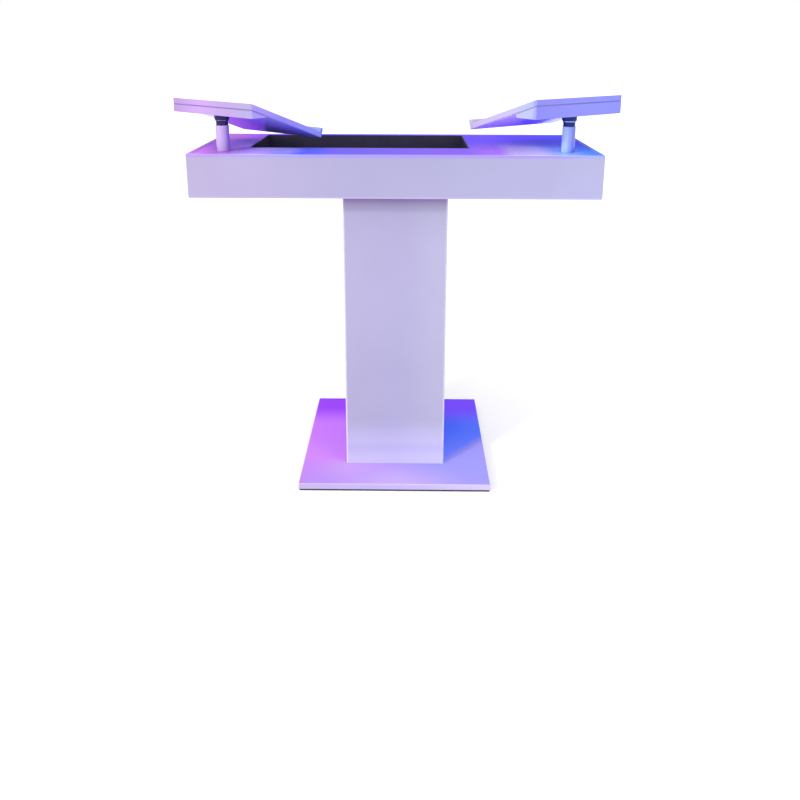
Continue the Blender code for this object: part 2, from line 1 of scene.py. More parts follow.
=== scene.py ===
# The stand for a DJ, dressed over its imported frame. Metres, +Z up, and the player stands on the +Y side.
import math

import bmesh
import bpy
import numpy as np
from mathutils import Matrix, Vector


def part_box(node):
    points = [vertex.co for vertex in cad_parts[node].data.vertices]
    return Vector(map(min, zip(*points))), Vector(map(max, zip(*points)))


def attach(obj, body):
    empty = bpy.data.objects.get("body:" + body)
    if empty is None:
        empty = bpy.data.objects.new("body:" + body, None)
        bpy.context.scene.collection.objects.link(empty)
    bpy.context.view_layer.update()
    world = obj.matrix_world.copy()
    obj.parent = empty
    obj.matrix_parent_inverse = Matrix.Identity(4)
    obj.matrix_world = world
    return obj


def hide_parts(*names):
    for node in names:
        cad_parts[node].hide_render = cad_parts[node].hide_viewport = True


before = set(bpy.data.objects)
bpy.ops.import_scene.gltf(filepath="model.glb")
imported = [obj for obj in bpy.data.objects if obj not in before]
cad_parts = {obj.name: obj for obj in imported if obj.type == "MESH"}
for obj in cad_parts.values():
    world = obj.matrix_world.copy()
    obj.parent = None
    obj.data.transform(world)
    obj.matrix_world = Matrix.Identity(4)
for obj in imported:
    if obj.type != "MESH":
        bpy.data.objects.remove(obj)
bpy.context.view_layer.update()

# Camera: in front of the stand and a third of a metre above its deck, looking down. The frame is shifted
# down, so that the stand keeps to the upper part of the picture.
EYE = (0.0384, -2.5608, 1.4261)
LOOK_DOWN = math.radians(14.894)
LOOK_LEFT = math.radians(0.492)
ROLL = math.radians(0.171)
camera = bpy.data.objects.new("front_camera", bpy.data.cameras.new("front_camera"))
bpy.context.scene.collection.objects.link(camera)
camera.data.lens = 34.982
camera.data.sensor_width = 36.0
camera.data.shift_x = -0.0011
camera.data.shift_y = -0.1921
aim = Matrix.Rotation(LOOK_LEFT, 4, "Z") @ Matrix.Rotation(math.pi / 2 - LOOK_DOWN, 4, "X")
camera.matrix_world = Matrix.Translation(EYE) @ aim @ Matrix.Rotation(ROLL, 4, "Z")
bpy.context.scene.camera = camera
bpy.context.scene.view_settings.view_transform = "Standard"


# Studio: a pale matt floor under a wide white dome that is dimmer behind the stand, so that the gloss keeps
# its colour, with a soft key from the left front and a weaker fill from the right.
def linear(hex_colour):
    """An sRGB hex colour as linear red, green, blue and one."""
    values = np.array([int(hex_colour[start : start + 2], 16) for start in (1, 3, 5)]) / 255
    curve = np.where(values <= 0.04045, values / 12.92, ((values + 0.055) / 1.055) ** 2.4)
    return (*curve.tolist(), 1.0)


def add(owner, kind, inputs=None, **settings):
    """One shader node in a material or world, with its settings, its values and its links."""
    node = owner.node_tree.nodes.new("ShaderNode" + kind)
    for key, value in settings.items():
        setattr(node, key, value)
    for key, value in (inputs or {}).items():
        if isinstance(value, bpy.types.NodeSocket):
            owner.node_tree.links.new(value, node.inputs[key])
        else:
            node.inputs[key].default_value = value
    return node


def begin(name):
    """A new material, its shader, and the place on the piece in metres."""
    material = bpy.data.materials.new(name)
    material.use_nodes = True
    shader = material.node_tree.nodes["Principled BSDF"]
    return material, shader, add(material, "TexCoord").outputs["Object"]


DOME_MIDDLE = (0.0, -0.6, 0.8)
DOME_DIM, DOME_BRIGHT = 0.32, 1.35
DIM_BELOW, BRIGHT_ABOVE = -0.45, 0.8
dome = bpy.data.worlds.new("studio dome")
bpy.context.scene.world = dome
dome.use_nodes = True
background = dome.node_tree.nodes["Background"]
looking = add(dome, "TexCoord").outputs["Generated"]
towards_middle = add(dome, "VectorMath", {0: looking, 1: DOME_MIDDLE}, operation="DOT_PRODUCT")
brightness = add(
    dome,
    "MapRange",
    {
        "Value": towards_middle.outputs["Value"],
        "From Min": DIM_BELOW,
        "From Max": BRIGHT_ABOVE,
        "To Min": DOME_DIM,
        "To Max": DOME_BRIGHT,
    },
)
seen_directly = add(dome, "LightPath").outputs["Is Camera Ray"]
strength = add(dome, "Mix", {"Factor": seen_directly, "A": brightness.outputs["Result"], "B": 1.0})
dome.node_tree.links.new(strength.outputs["Result"], background.inputs["Strength"])
background.inputs["Color"].default_value = (1.0, 1.0, 1.0, 1.0)

for name, heading, height, energy, softness in (
    ("key_light", -46.0, 27.0, 1.4, 8.0),
    ("fill_light", 48.0, 50.0, 0.35, 34.0),
):
    lamp = bpy.data.objects.new(name, bpy.data.lights.new(name, "SUN"))
    bpy.context.scene.collection.objects.link(lamp)
    lamp.data.energy = energy
    lamp.data.angle = math.radians(softness)
    lamp.rotation_euler = (math.radians(90.0 - height), 0.0, math.radians(heading))

FLOOR_REACH = 60.0
FLOOR_LEVEL = -0.0005
floor_mesh = bpy.data.meshes.new("studio_floor")
corners = np.array([(-1, -1), (1, -1), (1, 1), (-1, 1)]) * FLOOR_REACH
floor_mesh.from_pydata(np.column_stack([corners, np.full(4, FLOOR_LEVEL)]).tolist(), [], [(0, 1, 2, 3)])
floor = bpy.data.objects.new("studio_floor", floor_mesh)
bpy.context.scene.collection.objects.link(floor)
# Matt floor paint: pale, dry and even.
paint, shader = begin("matt pale floor paint")[:2]
shader.inputs["Base Color"].default_value = linear("#FBFBFC")
shader.inputs["Roughness"].default_value = 0.95
shader.inputs["Specular IOR Level"].default_value = 0.0
floor_mesh.materials.append(paint)


# Rubber mat: one sheet of black rubber, 2 mm short of the plate's edges and glued under it, so that the stand
# doesn't slide. Calendered sheet: dead matt, greyish where it is rubbed, with a fine pebble.
A_COLOUR, B_COLOUR, MIXED = 6, 7, 2  # the colour sockets of a Mix node go by number


def lead_in(material, shader, colour, roughness, bump):
    """Link a mixed colour, a roughness and a bump to the shader."""
    material.node_tree.links.new(colour.outputs[MIXED], shader.inputs["Base Color"])
    material.node_tree.links.new(roughness.outputs["Result"], shader.inputs["Roughness"])
    material.node_tree.links.new(bump.outputs["Normal"], shader.inputs["Normal"])


def black_rubber(name, pebble, colour, worn):
    """Black sheet rubber, with pebbles of a given size in metres and rubbed patches of about 70 mm."""
    material, shader, spot = begin(name)
    shader.inputs["IOR"].default_value = 1.52
    patches = add(material, "TexNoise", {"Vector": spot, "Scale": 14.0, "Detail": 5.0, "Roughness": 0.6})
    patches = patches.outputs["Fac"]
    paler_share = add(material, "MapRange", {"Value": patches, "From Min": 0.45, "From Max": 0.75})
    tone = add(
        material,
        "Mix",
        {"Factor": paler_share.outputs["Result"], A_COLOUR: linear(colour), B_COLOUR: linear(worn)},
        data_type="RGBA",
    )
    pebbles = add(material, "TexVoronoi", {"Vector": spot, "Scale": 1.0 / pebble}).outputs["Distance"]
    bump = add(material, "Bump", {"Height": pebbles, "Strength": 0.35, "Distance": pebble / 5})
    rough = add(material, "MapRange", {"Value": patches, "To Min": 0.68, "To Max": 0.88, "From Min": 0.2})
    lead_in(material, shader, tone, rough, bump)
    return material


def redress(node, material):
    """A CAD piece whose shape is right takes a finished material."""
    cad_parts[node].data.materials.clear()
    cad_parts[node].data.materials.append(material)


# Pebbles of real sheet are about 0.5 mm, and are drawn at 1.5 mm so that they show.
redress("base_mat", black_rubber("calendered black rubber sheet", 0.0015, "#1B1620", "#2C2731"))


# Base plate: 20 mm steel plate with its upper edges rounded by 2 mm, blasted and coated in gloss powder. Its
# colours are painted stage light, pink violet on the left and blue on the right, pale in front and deeper
# towards the back, with the column's painted shadow in deep blue on the right.
def paint_field(material, across, along, rows):
    """Colour over a piece, from rows that each have a place along it and stops of (place across it, colour).

    From one stop to the next the colour changes with 3 t^2 - 2 t^3, where t goes from 0 to 1, and from one
    row to the next it does the same.
    """
    colour = None
    for place, stops in rows:
        low, high = stops[0][0], stops[-1][0]
        share = add(material, "MapRange", {"Value": across, "From Min": low, "From Max": high})
        ramp = add(material, "ValToRGB", {"Fac": share.outputs["Result"]})
        ramp.color_ramp.interpolation = "EASE"
        while len(ramp.color_ramp.elements) < len(stops):
            ramp.color_ramp.elements.new(0.5)
        # Stops sort themselves by place, so all of them are placed before any takes its colour.
        for element, (x, _) in zip(ramp.color_ramp.elements, stops):
            element.position = (x - low) / (high - low)
        for element, (_, tint) in zip(ramp.color_ramp.elements, stops):
            element.color = linear(tint)
        if colour is None:
            colour = ramp.outputs["Color"]
        else:
            blend = add(
                material,
                "MapRange",
                {"Value": along, "From Min": before, "From Max": place},
                interpolation_type="SMOOTHSTEP",
            )
            colour = add(
                material,
                "Mix",
                {"Factor": blend.outputs["Result"], A_COLOUR: colour, B_COLOUR: ramp.outputs["Color"]},
                data_type="RGBA",
            ).outputs[MIXED]
        before = place
    return colour


def by_facing(material, upright, up, under=None):
    """Colour by where a face looks, from its rise: upright faces, faces that look up, and undersides.

    The change starts where the rise is 0.45, up or down, and is full at 0.85.
    """
    # Faces are painted lit or shaded by the way they look: the light that falls on upper faces and undersides
    # is painted in.
    rise = add(material, "Attribute", attribute_name="rise").outputs["Fac"]
    colour = upright
    for start, end, other in ((0.45, 0.85, up), (-0.45, -0.85, under)):
        if other is not None:
            share = add(material, "MapRange", {"Value": rise, "From Min": start, "From Max": end})
            colour = add(
                material,
                "Mix",
                {"Factor": share.outputs["Result"], A_COLOUR: colour, B_COLOUR: other},
                data_type="RGBA",
            ).outputs[MIXED]
    return colour


def coat(material, shader, spot, colour, peel, gloss, wear_and_highlight=0.35):
    """A sprayed gloss coat, with orange peel of a given size in metres and a roughness that is called gloss.

    Its colour is clouded by 3 per cent over about 0.3 m. Its edges are paler in rubs of about 17 mm, partly
    wear and partly a painted highlight, by their rim, the rubs and twice the wear_and_highlight multiplied
    together.
    """
    clouds = add(material, "TexNoise", {"Vector": spot, "Scale": 3.5, "Detail": 4.0, "Roughness": 0.55})
    shade = add(
        material,
        "MapRange",
        {"Value": clouds.outputs["Fac"], "From Min": 0.3, "From Max": 0.7, "To Min": 0.965, "To Max": 1.03},
    )
    clouded = add(material, "VectorMath", {0: colour, "Scale": shade.outputs["Result"]}, operation="SCALE")
    rubs = add(material, "TexNoise", {"Vector": spot, "Scale": 60.0, "Detail": 6.0, "Roughness": 0.7})
    rubs = rubs.outputs["Fac"]
    rim = add(material, "Attribute", attribute_name="rim").outputs["Fac"]
    rim_in_rubs = add(material, "Math", {0: rim, 1: rubs}, operation="MULTIPLY").outputs[0]
    paler_share = add(material, "Math", {0: rim_in_rubs, 1: wear_and_highlight * 2.0}, operation="MULTIPLY", use_clamp=True)
    # Paler edges: wear, and a painted highlight along the rims.
    tone = add(
        material,
        "Mix",
        {"Factor": paler_share.outputs[0], A_COLOUR: clouded.outputs["Vector"], B_COLOUR: linear("#EFE9FF")},
        data_type="RGBA",
    )
    haze = add(
        material,
        "MapRange",
        {"Value": rubs, "From Min": 0.3, "From Max": 0.8, "To Min": gloss, "To Max": gloss * 1.8},
    )
    skin = add(material, "TexNoise", {"Vector": spot, "Scale": 1.0 / peel, "Detail": 2.0}).outputs["Fac"]
    bump = add(material, "Bump", {"Height": skin, "Strength": 0.12, "Distance": peel / 20})
    lead_in(material, shader, tone, haze, bump)


SHARP_FROM = math.radians(32.0)


def dressed(mesh, name, body, slot, material, *nodes):
    """Make a mesh a finished piece that rides on a body and stands for its CAD nodes.

    Each face keeps its rise, the height of its unit normal: 1 looks up, 0 is upright and -1 looks down.
    """
    mesh.name = name
    mesh.materials.clear()
    mesh.materials.append(material)
    normals = np.empty(len(mesh.polygons) * 3, np.float32)
    mesh.polygons.foreach_get("normal", normals)
    mesh.attributes.new("rise", "FLOAT", "FACE").data.foreach_set("value", normals[2::3].copy())
    mesh.shade_smooth()
    mesh.set_sharp_from_angle(angle=SHARP_FROM)
    piece = bpy.data.objects.new(name, mesh)
    bpy.context.scene.collection.objects.link(piece)
    even = piece.modifiers.new("flat faces stay flat", "WEIGHTED_NORMAL")
    even.weight = 100
    even.keep_sharp = True
    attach(piece, body)
    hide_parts(*nodes)


def joined(mesh, reach):
    """Join the points of a mesh that are nearer to each other than a reach."""
    shape = bmesh.new()
    shape.from_mesh(mesh)
    bmesh.ops.remove_doubles(shape, verts=shape.verts, dist=reach)
    shape.to_mesh(mesh)
    shape.free()


CAD_WELD = 0.00001


def smoothed_copy(node, body, slot, material, edge):
    """A CAD piece copied with its loose triangles joined, so that its rounded edges shade as one curve.

    Its rim is 2 a b, where a and b are how near a point is to the two nearest outer faces: 1 on them and 0 an
    edge away.
    """
    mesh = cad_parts[node].data.copy()
    joined(mesh, CAD_WELD)
    places = np.empty(len(mesh.vertices) * 3, np.float32)
    mesh.vertices.foreach_get("co", places)
    places = places.reshape(-1, 3)
    inside = np.concatenate([(places - places.min(0))[:, :2], places.max(0) - places], 1)
    near = np.sort(np.clip(1.0 - inside / edge, 0.0, 1.0), 1)
    rim = np.clip(2.0 * near[:, -1] * near[:, -2], 0.0, 1.0)
    mesh.attributes.new("rim", "FLOAT", "POINT").data.foreach_set("value", rim)
    dressed(mesh, node + "_finished", body, slot, material, node)


PLATE_EDGE = 0.002
PLATE_FRONT_ROWS = [
    (
        -0.30,
        [(-0.31, "#B481DC"), (-0.26, "#B088E3"), (0.0, "#BAA2DF"), (0.26, "#9C93E6"), (0.31, "#9890E6")],
    ),
    (-0.19, [(-0.31, "#BC80EA"), (-0.16, "#BD96DF"), (0.16, "#9792EA"), (0.31, "#9892EA")]),
]
PLATE_BACK_ROWS = [
    (-0.15, [(-0.31, "#C981F4"), (-0.16, "#C981F4"), (0.16, "#6A80FF"), (0.31, "#6A80FF")]),
    (0.08, [(-0.31, "#C776F7"), (-0.16, "#C776F7"), (0.16, "#3A66FF"), (0.31, "#4A70FF")]),
    (0.24, [(-0.31, "#9833F1"), (-0.16, "#9833F1"), (0.16, "#713DFF"), (0.31, "#713DFF")]),
]
PLATE_EDGE_ROWS = [(0.0, [(-0.31, "#A89BC8"), (0.0, "#A79CCB"), (0.31, "#B4ABD2")])]
# The column's painted shadow: the deep blue on the right starts at a slanting line that leaves the column's
# front corner.
LINE_CORNER = 0.165
LINE_SLOPE = -1.1
LINE_START = -0.20
LINE_END = -0.13
# Gloss powder coat: a slight orange peel of about 2 mm that softens the lights in it.
plate_coat, shader, spot = begin("gloss powder coat on steel plate")
shader.inputs["IOR"].default_value = 1.3
place = add(plate_coat, "SeparateXYZ", {"Vector": spot})
past_corner = add(plate_coat, "Math", {0: place.outputs["X"], 1: LINE_CORNER}, operation="SUBTRACT")
past_corner = add(plate_coat, "Math", {0: past_corner.outputs[0], 1: 0.0}, operation="MAXIMUM")
slanted = add(
    plate_coat,
    "Math",
    {0: past_corner.outputs[0], 1: LINE_SLOPE, 2: place.outputs["Y"]},
    operation="MULTIPLY_ADD",
)
behind_line = add(
    plate_coat,
    "MapRange",
    {"Value": slanted.outputs[0], "From Min": LINE_START, "From Max": LINE_END},
    interpolation_type="SMOOTHSTEP",
)
plate_front, plate_back, plate_edge = [
    paint_field(plate_coat, place.outputs["X"], place.outputs["Y"], rows)
    for rows in (PLATE_FRONT_ROWS, PLATE_BACK_ROWS, PLATE_EDGE_ROWS)
]
plate_top = add(
    plate_coat,
    "Mix",
    {"Factor": behind_line.outputs["Result"], A_COLOUR: plate_front, B_COLOUR: plate_back},
    data_type="RGBA",
).outputs[MIXED]
coat(plate_coat, shader, spot, by_facing(plate_coat, plate_edge, plate_top), peel=0.002, gloss=0.16)
smoothed_copy("base_plate", "stand", "plate_coating", plate_coat, PLATE_EDGE)

# Fixing steel: countersunk bolts under the plate, screws up into the top box, the screws of the rear cover,
# the angles in the column and the nuts and grubs of the posts. Rolled or pressed, then zinc plated.
# Bright zinc: bluish grey with faint straw patches of about 18 mm, and a fine satin grain drawn at 1 mm.
zinc, shader, spot = begin("bright zinc plated steel")
shader.inputs["Metallic"].default_value = 1.0
patches = add(zinc, "TexNoise", {"Vector": spot, "Scale": 55.0, "Detail": 5.0, "Roughness": 0.6})
zinc_tone = add(
    zinc,
    "Mix",
    {"Factor": patches.outputs["Fac"], A_COLOUR: linear("#AEB7C0"), B_COLOUR: linear("#C6C0AC")},
    data_type="RGBA",
)
grain = add(zinc, "TexNoise", {"Vector": spot, "Scale": 900.0, "Detail": 3.0}).outputs["Fac"]
zinc_rough = add(zinc, "MapRange", {"Value": grain, "To Min": 0.24, "To Max": 0.42})
zinc_bump = add(zinc, "Bump", {"Height": grain, "Strength": 0.2, "Distance": 0.0001})
lead_in(zinc, shader, zinc_tone, zinc_rough, zinc_bump)
for number in range(1, 5):
    redress(f"base_bolt_{number}", zinc)
    redress(f"top_screw_{number}", zinc)
for side in ("left", "right"):
    redress("foot_angle_" + side, zinc)
    redress("head_angle_" + side, zinc)
    redress(side + "_post_nut", zinc)
    redress(side + "_swivel_grub", zinc)


# Column: MDF boards sprayed in a gloss lacquer, the front one with 6 mm rounded edges over the two sides, and
# a screwed cover at the back. Its lavender is painted stage light, greyer in the middle with painted
# highlights along the long edges, a paler foot in painted light bounced off the base, and a painted shadow
# under the top box.
def carried(outline, radii, ends, end_radii, turn=0, steps=7):
    """A convex outline carried in a straight line between two ends.

    Each side of the outline is a line at a set reach from the middle. Near an end it moves in by
    R - sqrt(R^2 - s^2), where R is the end radius of that side and s is how far the section has gone past the
    start of its rounding. Each corner is an arc about the crossing of its two lines, both moved in by the
    corner's radius. Turn 0 carries (y, z) along x, 1 carries (z, x) along y, and 2 carries (x, y) along z.
    """
    outline = np.array(outline, float)
    radii = np.array(radii, float)
    end_radii = np.array(end_radii, float)
    side = np.roll(outline, -1, axis=0) - outline
    outward = np.stack([side[:, 1], -side[:, 0]], 1) / np.hypot(side[:, 0], side[:, 1])[:, None]
    reach = (outward * outline).sum(1)
    quarter = np.linspace(0.0, math.pi / 2, steps + 1)
    from_end = np.unique(np.round(np.outer(np.unique(end_radii), 1.0 - np.sin(quarter)), 9))
    past = np.clip(end_radii - from_end[:, None], 0.0, None)
    inset = end_radii - np.sqrt(end_radii**2 - past**2)
    inset = np.concatenate([inset, inset[::-1]])
    along = np.concatenate([ends[0] + from_end, (ends[1] - from_end)[::-1]])
    before = np.roll(outward, 1, axis=0)
    radius = np.clip(radii - np.minimum(np.roll(inset, 1, axis=1), inset), 0.0, None)
    first = np.roll(reach - inset, 1, axis=1) - radius
    second = reach - inset - radius
    cross = before[:, 0] * outward[:, 1] - before[:, 1] * outward[:, 0]
    across = (first * outward[:, 1] - second * before[:, 1]) / cross
    up = (second * before[:, 0] - first * outward[:, 0]) / cross
    begins = np.arctan2(before[:, 1], before[:, 0])
    sweep = (np.arctan2(outward[:, 1], outward[:, 0]) - begins) % (2 * math.pi)
    share = np.linspace(0.0, 1.0, steps + 1)
    angle = begins[:, None] + sweep[:, None] * share
    rows = len(along)
    across = (across[:, :, None] + radius[:, :, None] * np.cos(angle)).reshape(rows, -1)
    up = (up[:, :, None] + radius[:, :, None] * np.sin(angle)).reshape(rows, -1)
    points = np.stack([np.broadcast_to(along[:, None], up.shape), across, up], 2).reshape(-1, 3)
    corner_rim = np.broadcast_to(np.sin(math.pi * share), angle.shape).reshape(1, -1)
    end_rim = np.sin(math.pi * from_end / from_end.max())
    end_rim = np.concatenate([end_rim, end_rim[::-1]])[:, None]
    rim = np.maximum(corner_rim, end_rim).ravel()
    return np.roll(points, turn, axis=1), grid_faces(rows, up.shape[1], caps=True), rim


def grid_faces(rows, around, caps=False, closed=False):
    """Quads between the rows of a grid that closes round each row, with its two ends capped or joined."""
    ring = np.arange(around)
    lines = np.arange(rows if closed else rows - 1)
    here = lines[:, None] * around
    there = (lines[:, None] + 1) % rows * around
    after = (ring + 1) % around
    quads = np.stack([here + ring, here + after, there + after, there + ring], 2).reshape(-1, 4).tolist()
    if caps:
        quads.append(ring[::-1].tolist())
        quads.append((ring + (rows - 1) * around).tolist())
    return quads


SURFACE_WELD = 0.000004


def made(name, surface, body, slot, material, *nodes):
    """Put a computed surface into a mesh, join its doubled points, and dress it."""
    points, faces, rim = surface
    mesh = bpy.data.meshes.new(name)
    mesh.from_pydata(points.tolist(), [], faces)
    mesh.attributes.new("rim", "FLOAT", "POINT").data.foreach_set("value", rim.astype(np.float32))
    joined(mesh, SURFACE_WELD)
    dressed(mesh, name, body, slot, material, *nodes)


BOARD_ARRIS = 0.0006


def board(node, body, slot, material, turn, round_corners, round_sides, radius):
    """A board in the place of its CAD node: a fine arris all over, some corners and ends rounded more."""
    low, high = (np.roll(corner, -turn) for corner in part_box(node))
    outline = [(low[1], low[2]), (high[1], low[2]), (high[1], high[2]), (low[1], high[2])]
    radii = [radius if corner in round_corners else BOARD_ARRIS for corner in range(4)]
    end_radii = [radius if side in round_sides else BOARD_ARRIS for side in range(4)]
    surface = carried(outline, radii, (low[0], high[0]), end_radii, turn)
    made(node + "_finished", surface, body, slot, material, node)


COLUMN_EDGE = 0.006
COLUMN_STOPS = (-0.165, -0.156, 0.0, 0.156, 0.165)
# Rows up the column: a paler foot of painted light bounced off the base, the two top rows the painted shadow
# of the top box's overhang, and the outer stops painted highlights on the long edges.
COLUMN_ROWS = [
    (0.03, ("#CFC3E0", "#BFBADD", "#BDB8DD", "#C3BEDE", "#CAC4E6")),
    (0.10, ("#BAAACC", "#A9A3CA", "#A7A1CB", "#ADA8CC", "#B4ACD4")),
    (0.20, ("#AA98BA", "#9892B4", "#9591B5", "#9B97B6", "#A29EC0")),
    (0.917, ("#AE9CBE", "#9C96B8", "#9A95B9", "#9F9BBA", "#A7A2C4")),
    (0.953, ("#8E7098", "#83669E", "#8267A0", "#866BA2", "#8C72A8")),
]
# Sprayed polyurethane lacquer, polished: faint orange peel, sharp soft lights along the edges, and painted
# light and shade in its colour.
column_coat, shader, spot = begin("polished gloss lacquer on column boards")
shader.inputs["IOR"].default_value = 1.45
place = add(column_coat, "SeparateXYZ", {"Vector": spot})
column_rows = [(height, list(zip(COLUMN_STOPS, tints))) for height, tints in COLUMN_ROWS]
column_colour = paint_field(column_coat, place.outputs["X"], place.outputs["Z"], column_rows)
coat(column_coat, shader, spot, column_colour, peel=0.003, gloss=0.07)
board("column_front", "stand", "column_lacquer", column_coat, 2, (0, 1), (), COLUMN_EDGE)
board("column_left", "stand", "column_lacquer", column_coat, 2, (), (), COLUMN_EDGE)
board("column_right", "stand", "column_lacquer", column_coat, 2, (), (), COLUMN_EDGE)
redress("column_rear_cover", column_coat)

# Cleats, battens and bearers: planed pine strips glued inside, where no one sees them.
# Planed softwood: pale straw with darker latewood lines about 4 mm apart that run along the strip, and a dry,
# slightly furry surface.
for strip, long_axis in (
    ("cover_cleat_left", 2),
    ("cover_cleat_right", 2),
    ("deck_batten_front", 0),
    ("deck_batten_left", 1),
    ("deck_batten_right", 1),
    ("well_bearer_left", 1),
    ("well_bearer_right", 1),
):
    pine, shader, spot = begin("planed pine " + strip)
    stretch = [1.0, 1.0, 1.0]
    stretch[long_axis] = 0.06
    fibres = add(pine, "Mapping", {"Vector": spot, "Scale": stretch}).outputs["Vector"]
    rings = add(pine, "TexNoise", {"Vector": fibres, "Scale": 230.0, "Detail": 4.0, "Distortion": 0.8})
    rings = rings.outputs["Fac"]
    latewood = add(pine, "MapRange", {"Value": rings, "From Min": 0.42, "From Max": 0.66})
    wood_tone = add(
        pine,
        "Mix",
        {"Factor": latewood.outputs["Result"], A_COLOUR: linear("#DDBE8C"), B_COLOUR: linear("#A8763F")},
        data_type="RGBA",
    )
    wood_bump = add(pine, "Bump", {"Height": rings, "Strength": 0.4, "Distance": 0.0003})
    wood_rough = add(pine, "MapRange", {"Value": rings, "To Min": 0.6, "To Max": 0.8})
    lead_in(pine, shader, wood_tone, wood_rough, wood_bump)
    redress(strip, pine)


# Cable ports: linings with a round flange, moulded in black plastic. They are pressed into the holes of the
# rear cover and of the top box's floor, so that a lead doesn't chafe.
def softened(profile, radii, closed, steps=5):
    """A profile with each corner replaced by a parabola that starts and ends a radius away from it.

    The radii are in the order of the profile's corners. With t from 0 to 1, the parabola goes through
    (1 - t)^2 times its start, 2 t (1 - t) times the corner and t^2 times its end, added up.
    """
    profile = np.array(profile, float)
    radii = np.array(radii, float)[:, None]
    before = np.roll(profile, 1, axis=0) - profile
    after = np.roll(profile, -1, axis=0) - profile
    starts = profile + before / np.linalg.norm(before, axis=1)[:, None] * radii
    stops = profile + after / np.linalg.norm(after, axis=1)[:, None] * radii
    if not closed:
        starts[[0, -1]] = profile[[0, -1]]
        stops[[0, -1]] = profile[[0, -1]]
    t = np.linspace(0.0, 1.0, steps + 1)[None, :, None]
    bend = (1 - t) ** 2 * starts[:, None] + 2 * t * (1 - t) * profile[:, None] + t**2 * stops[:, None]
    return bend.reshape(-1, 2)


def lathed(profile, centre, closed=False, around=96, facing_back=False):
    """A profile of (radius, height), outer side downwards, carried round: x = r cos a, y = r sin a.

    The height goes along Z, or along Y where the piece faces back.
    """
    angle = np.linspace(0.0, 2 * math.pi, around, endpoint=False)
    x = profile[:, :1] * np.cos(angle)
    y = profile[:, :1] * np.sin(angle)
    z = np.broadcast_to(profile[:, 1:], x.shape)
    points = np.stack([x, z, -y] if facing_back else [x, y, z], 2).reshape(-1, 3) + np.array(centre)
    faces = [face[::-1] for face in grid_faces(len(profile), around, closed=closed)]
    return points, faces, np.zeros(len(points))


# Moulded ABS: satin black with a fine spark-eroded grain, drawn at 0.8 mm, about twice its real size, and
# smudges of about 55 mm.
abs_black, shader, spot = begin("moulded black ABS")
shader.inputs["IOR"].default_value = 1.53
spark = add(abs_black, "TexNoise", {"Vector": spot, "Scale": 1250.0, "Detail": 2.0}).outputs["Fac"]
smudge = add(abs_black, "TexNoise", {"Vector": spot, "Scale": 18.0, "Detail": 4.0}).outputs["Fac"]
# Its blue-violet tint is painted stage light.
abs_tone = add(
    abs_black,
    "Mix",
    {"Factor": smudge, A_COLOUR: linear("#14112A"), B_COLOUR: linear("#211C3C")},
    data_type="RGBA",
)
abs_rough = add(abs_black, "MapRange", {"Value": smudge, "To Min": 0.33, "To Max": 0.52})
abs_bump = add(abs_black, "Bump", {"Height": spark, "Strength": 0.3, "Distance": 0.0002})
lead_in(abs_black, shader, abs_tone, abs_rough, abs_bump)

# Pieces that rest on one another are drawn this far apart.
SEAM = 0.0003
PORT_BORE = 0.0267
PORT_OUTER = 0.0297
PORT_FLANGE = 0.035
PORT_TOP = 0.0023
PORT_DEPTH = 0.018
port_profile = [
    (PORT_BORE, PORT_TOP),
    (PORT_FLANGE, PORT_TOP),
    (PORT_FLANGE, SEAM),
    (PORT_OUTER, SEAM),
    (PORT_OUTER, -PORT_DEPTH),
    (PORT_BORE, -PORT_DEPTH),
]
port_profile = softened(port_profile, (0.0012, 0.0012, 0.0002, 0.0002, 0.0005, 0.0005), True)
for node, facing_back in (("column_cable_port", True), ("top_cable_port", False)):
    low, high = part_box(node)
    x, y, z = (low + high) / 2
    face = (x, high[1] - PORT_TOP, z) if facing_back else (x, y, high[2] - PORT_TOP)
    surface = lathed(port_profile, face, closed=True, facing_back=facing_back)
    made(node + "_finished", surface, "stand", "black_plastic", abs_black, node)


# Cover screws: pan-head screws with a cross recess, pressed and rolled from steel wire and zinc plated. They
# hold the rear cover to the cleats in the column.
HEAD_RADIUS = 0.0045
HEAD_HEIGHT = 0.0024
HEAD_FALL = 0.65
SHANK_RADIUS = 0.002
SHANK_POINT = 0.002
RECESS_DEPTH = 0.0014
RECESS_REACH = 0.0026
RECESS_WIDTH = 0.0006
RECESS_WALL = 1.3


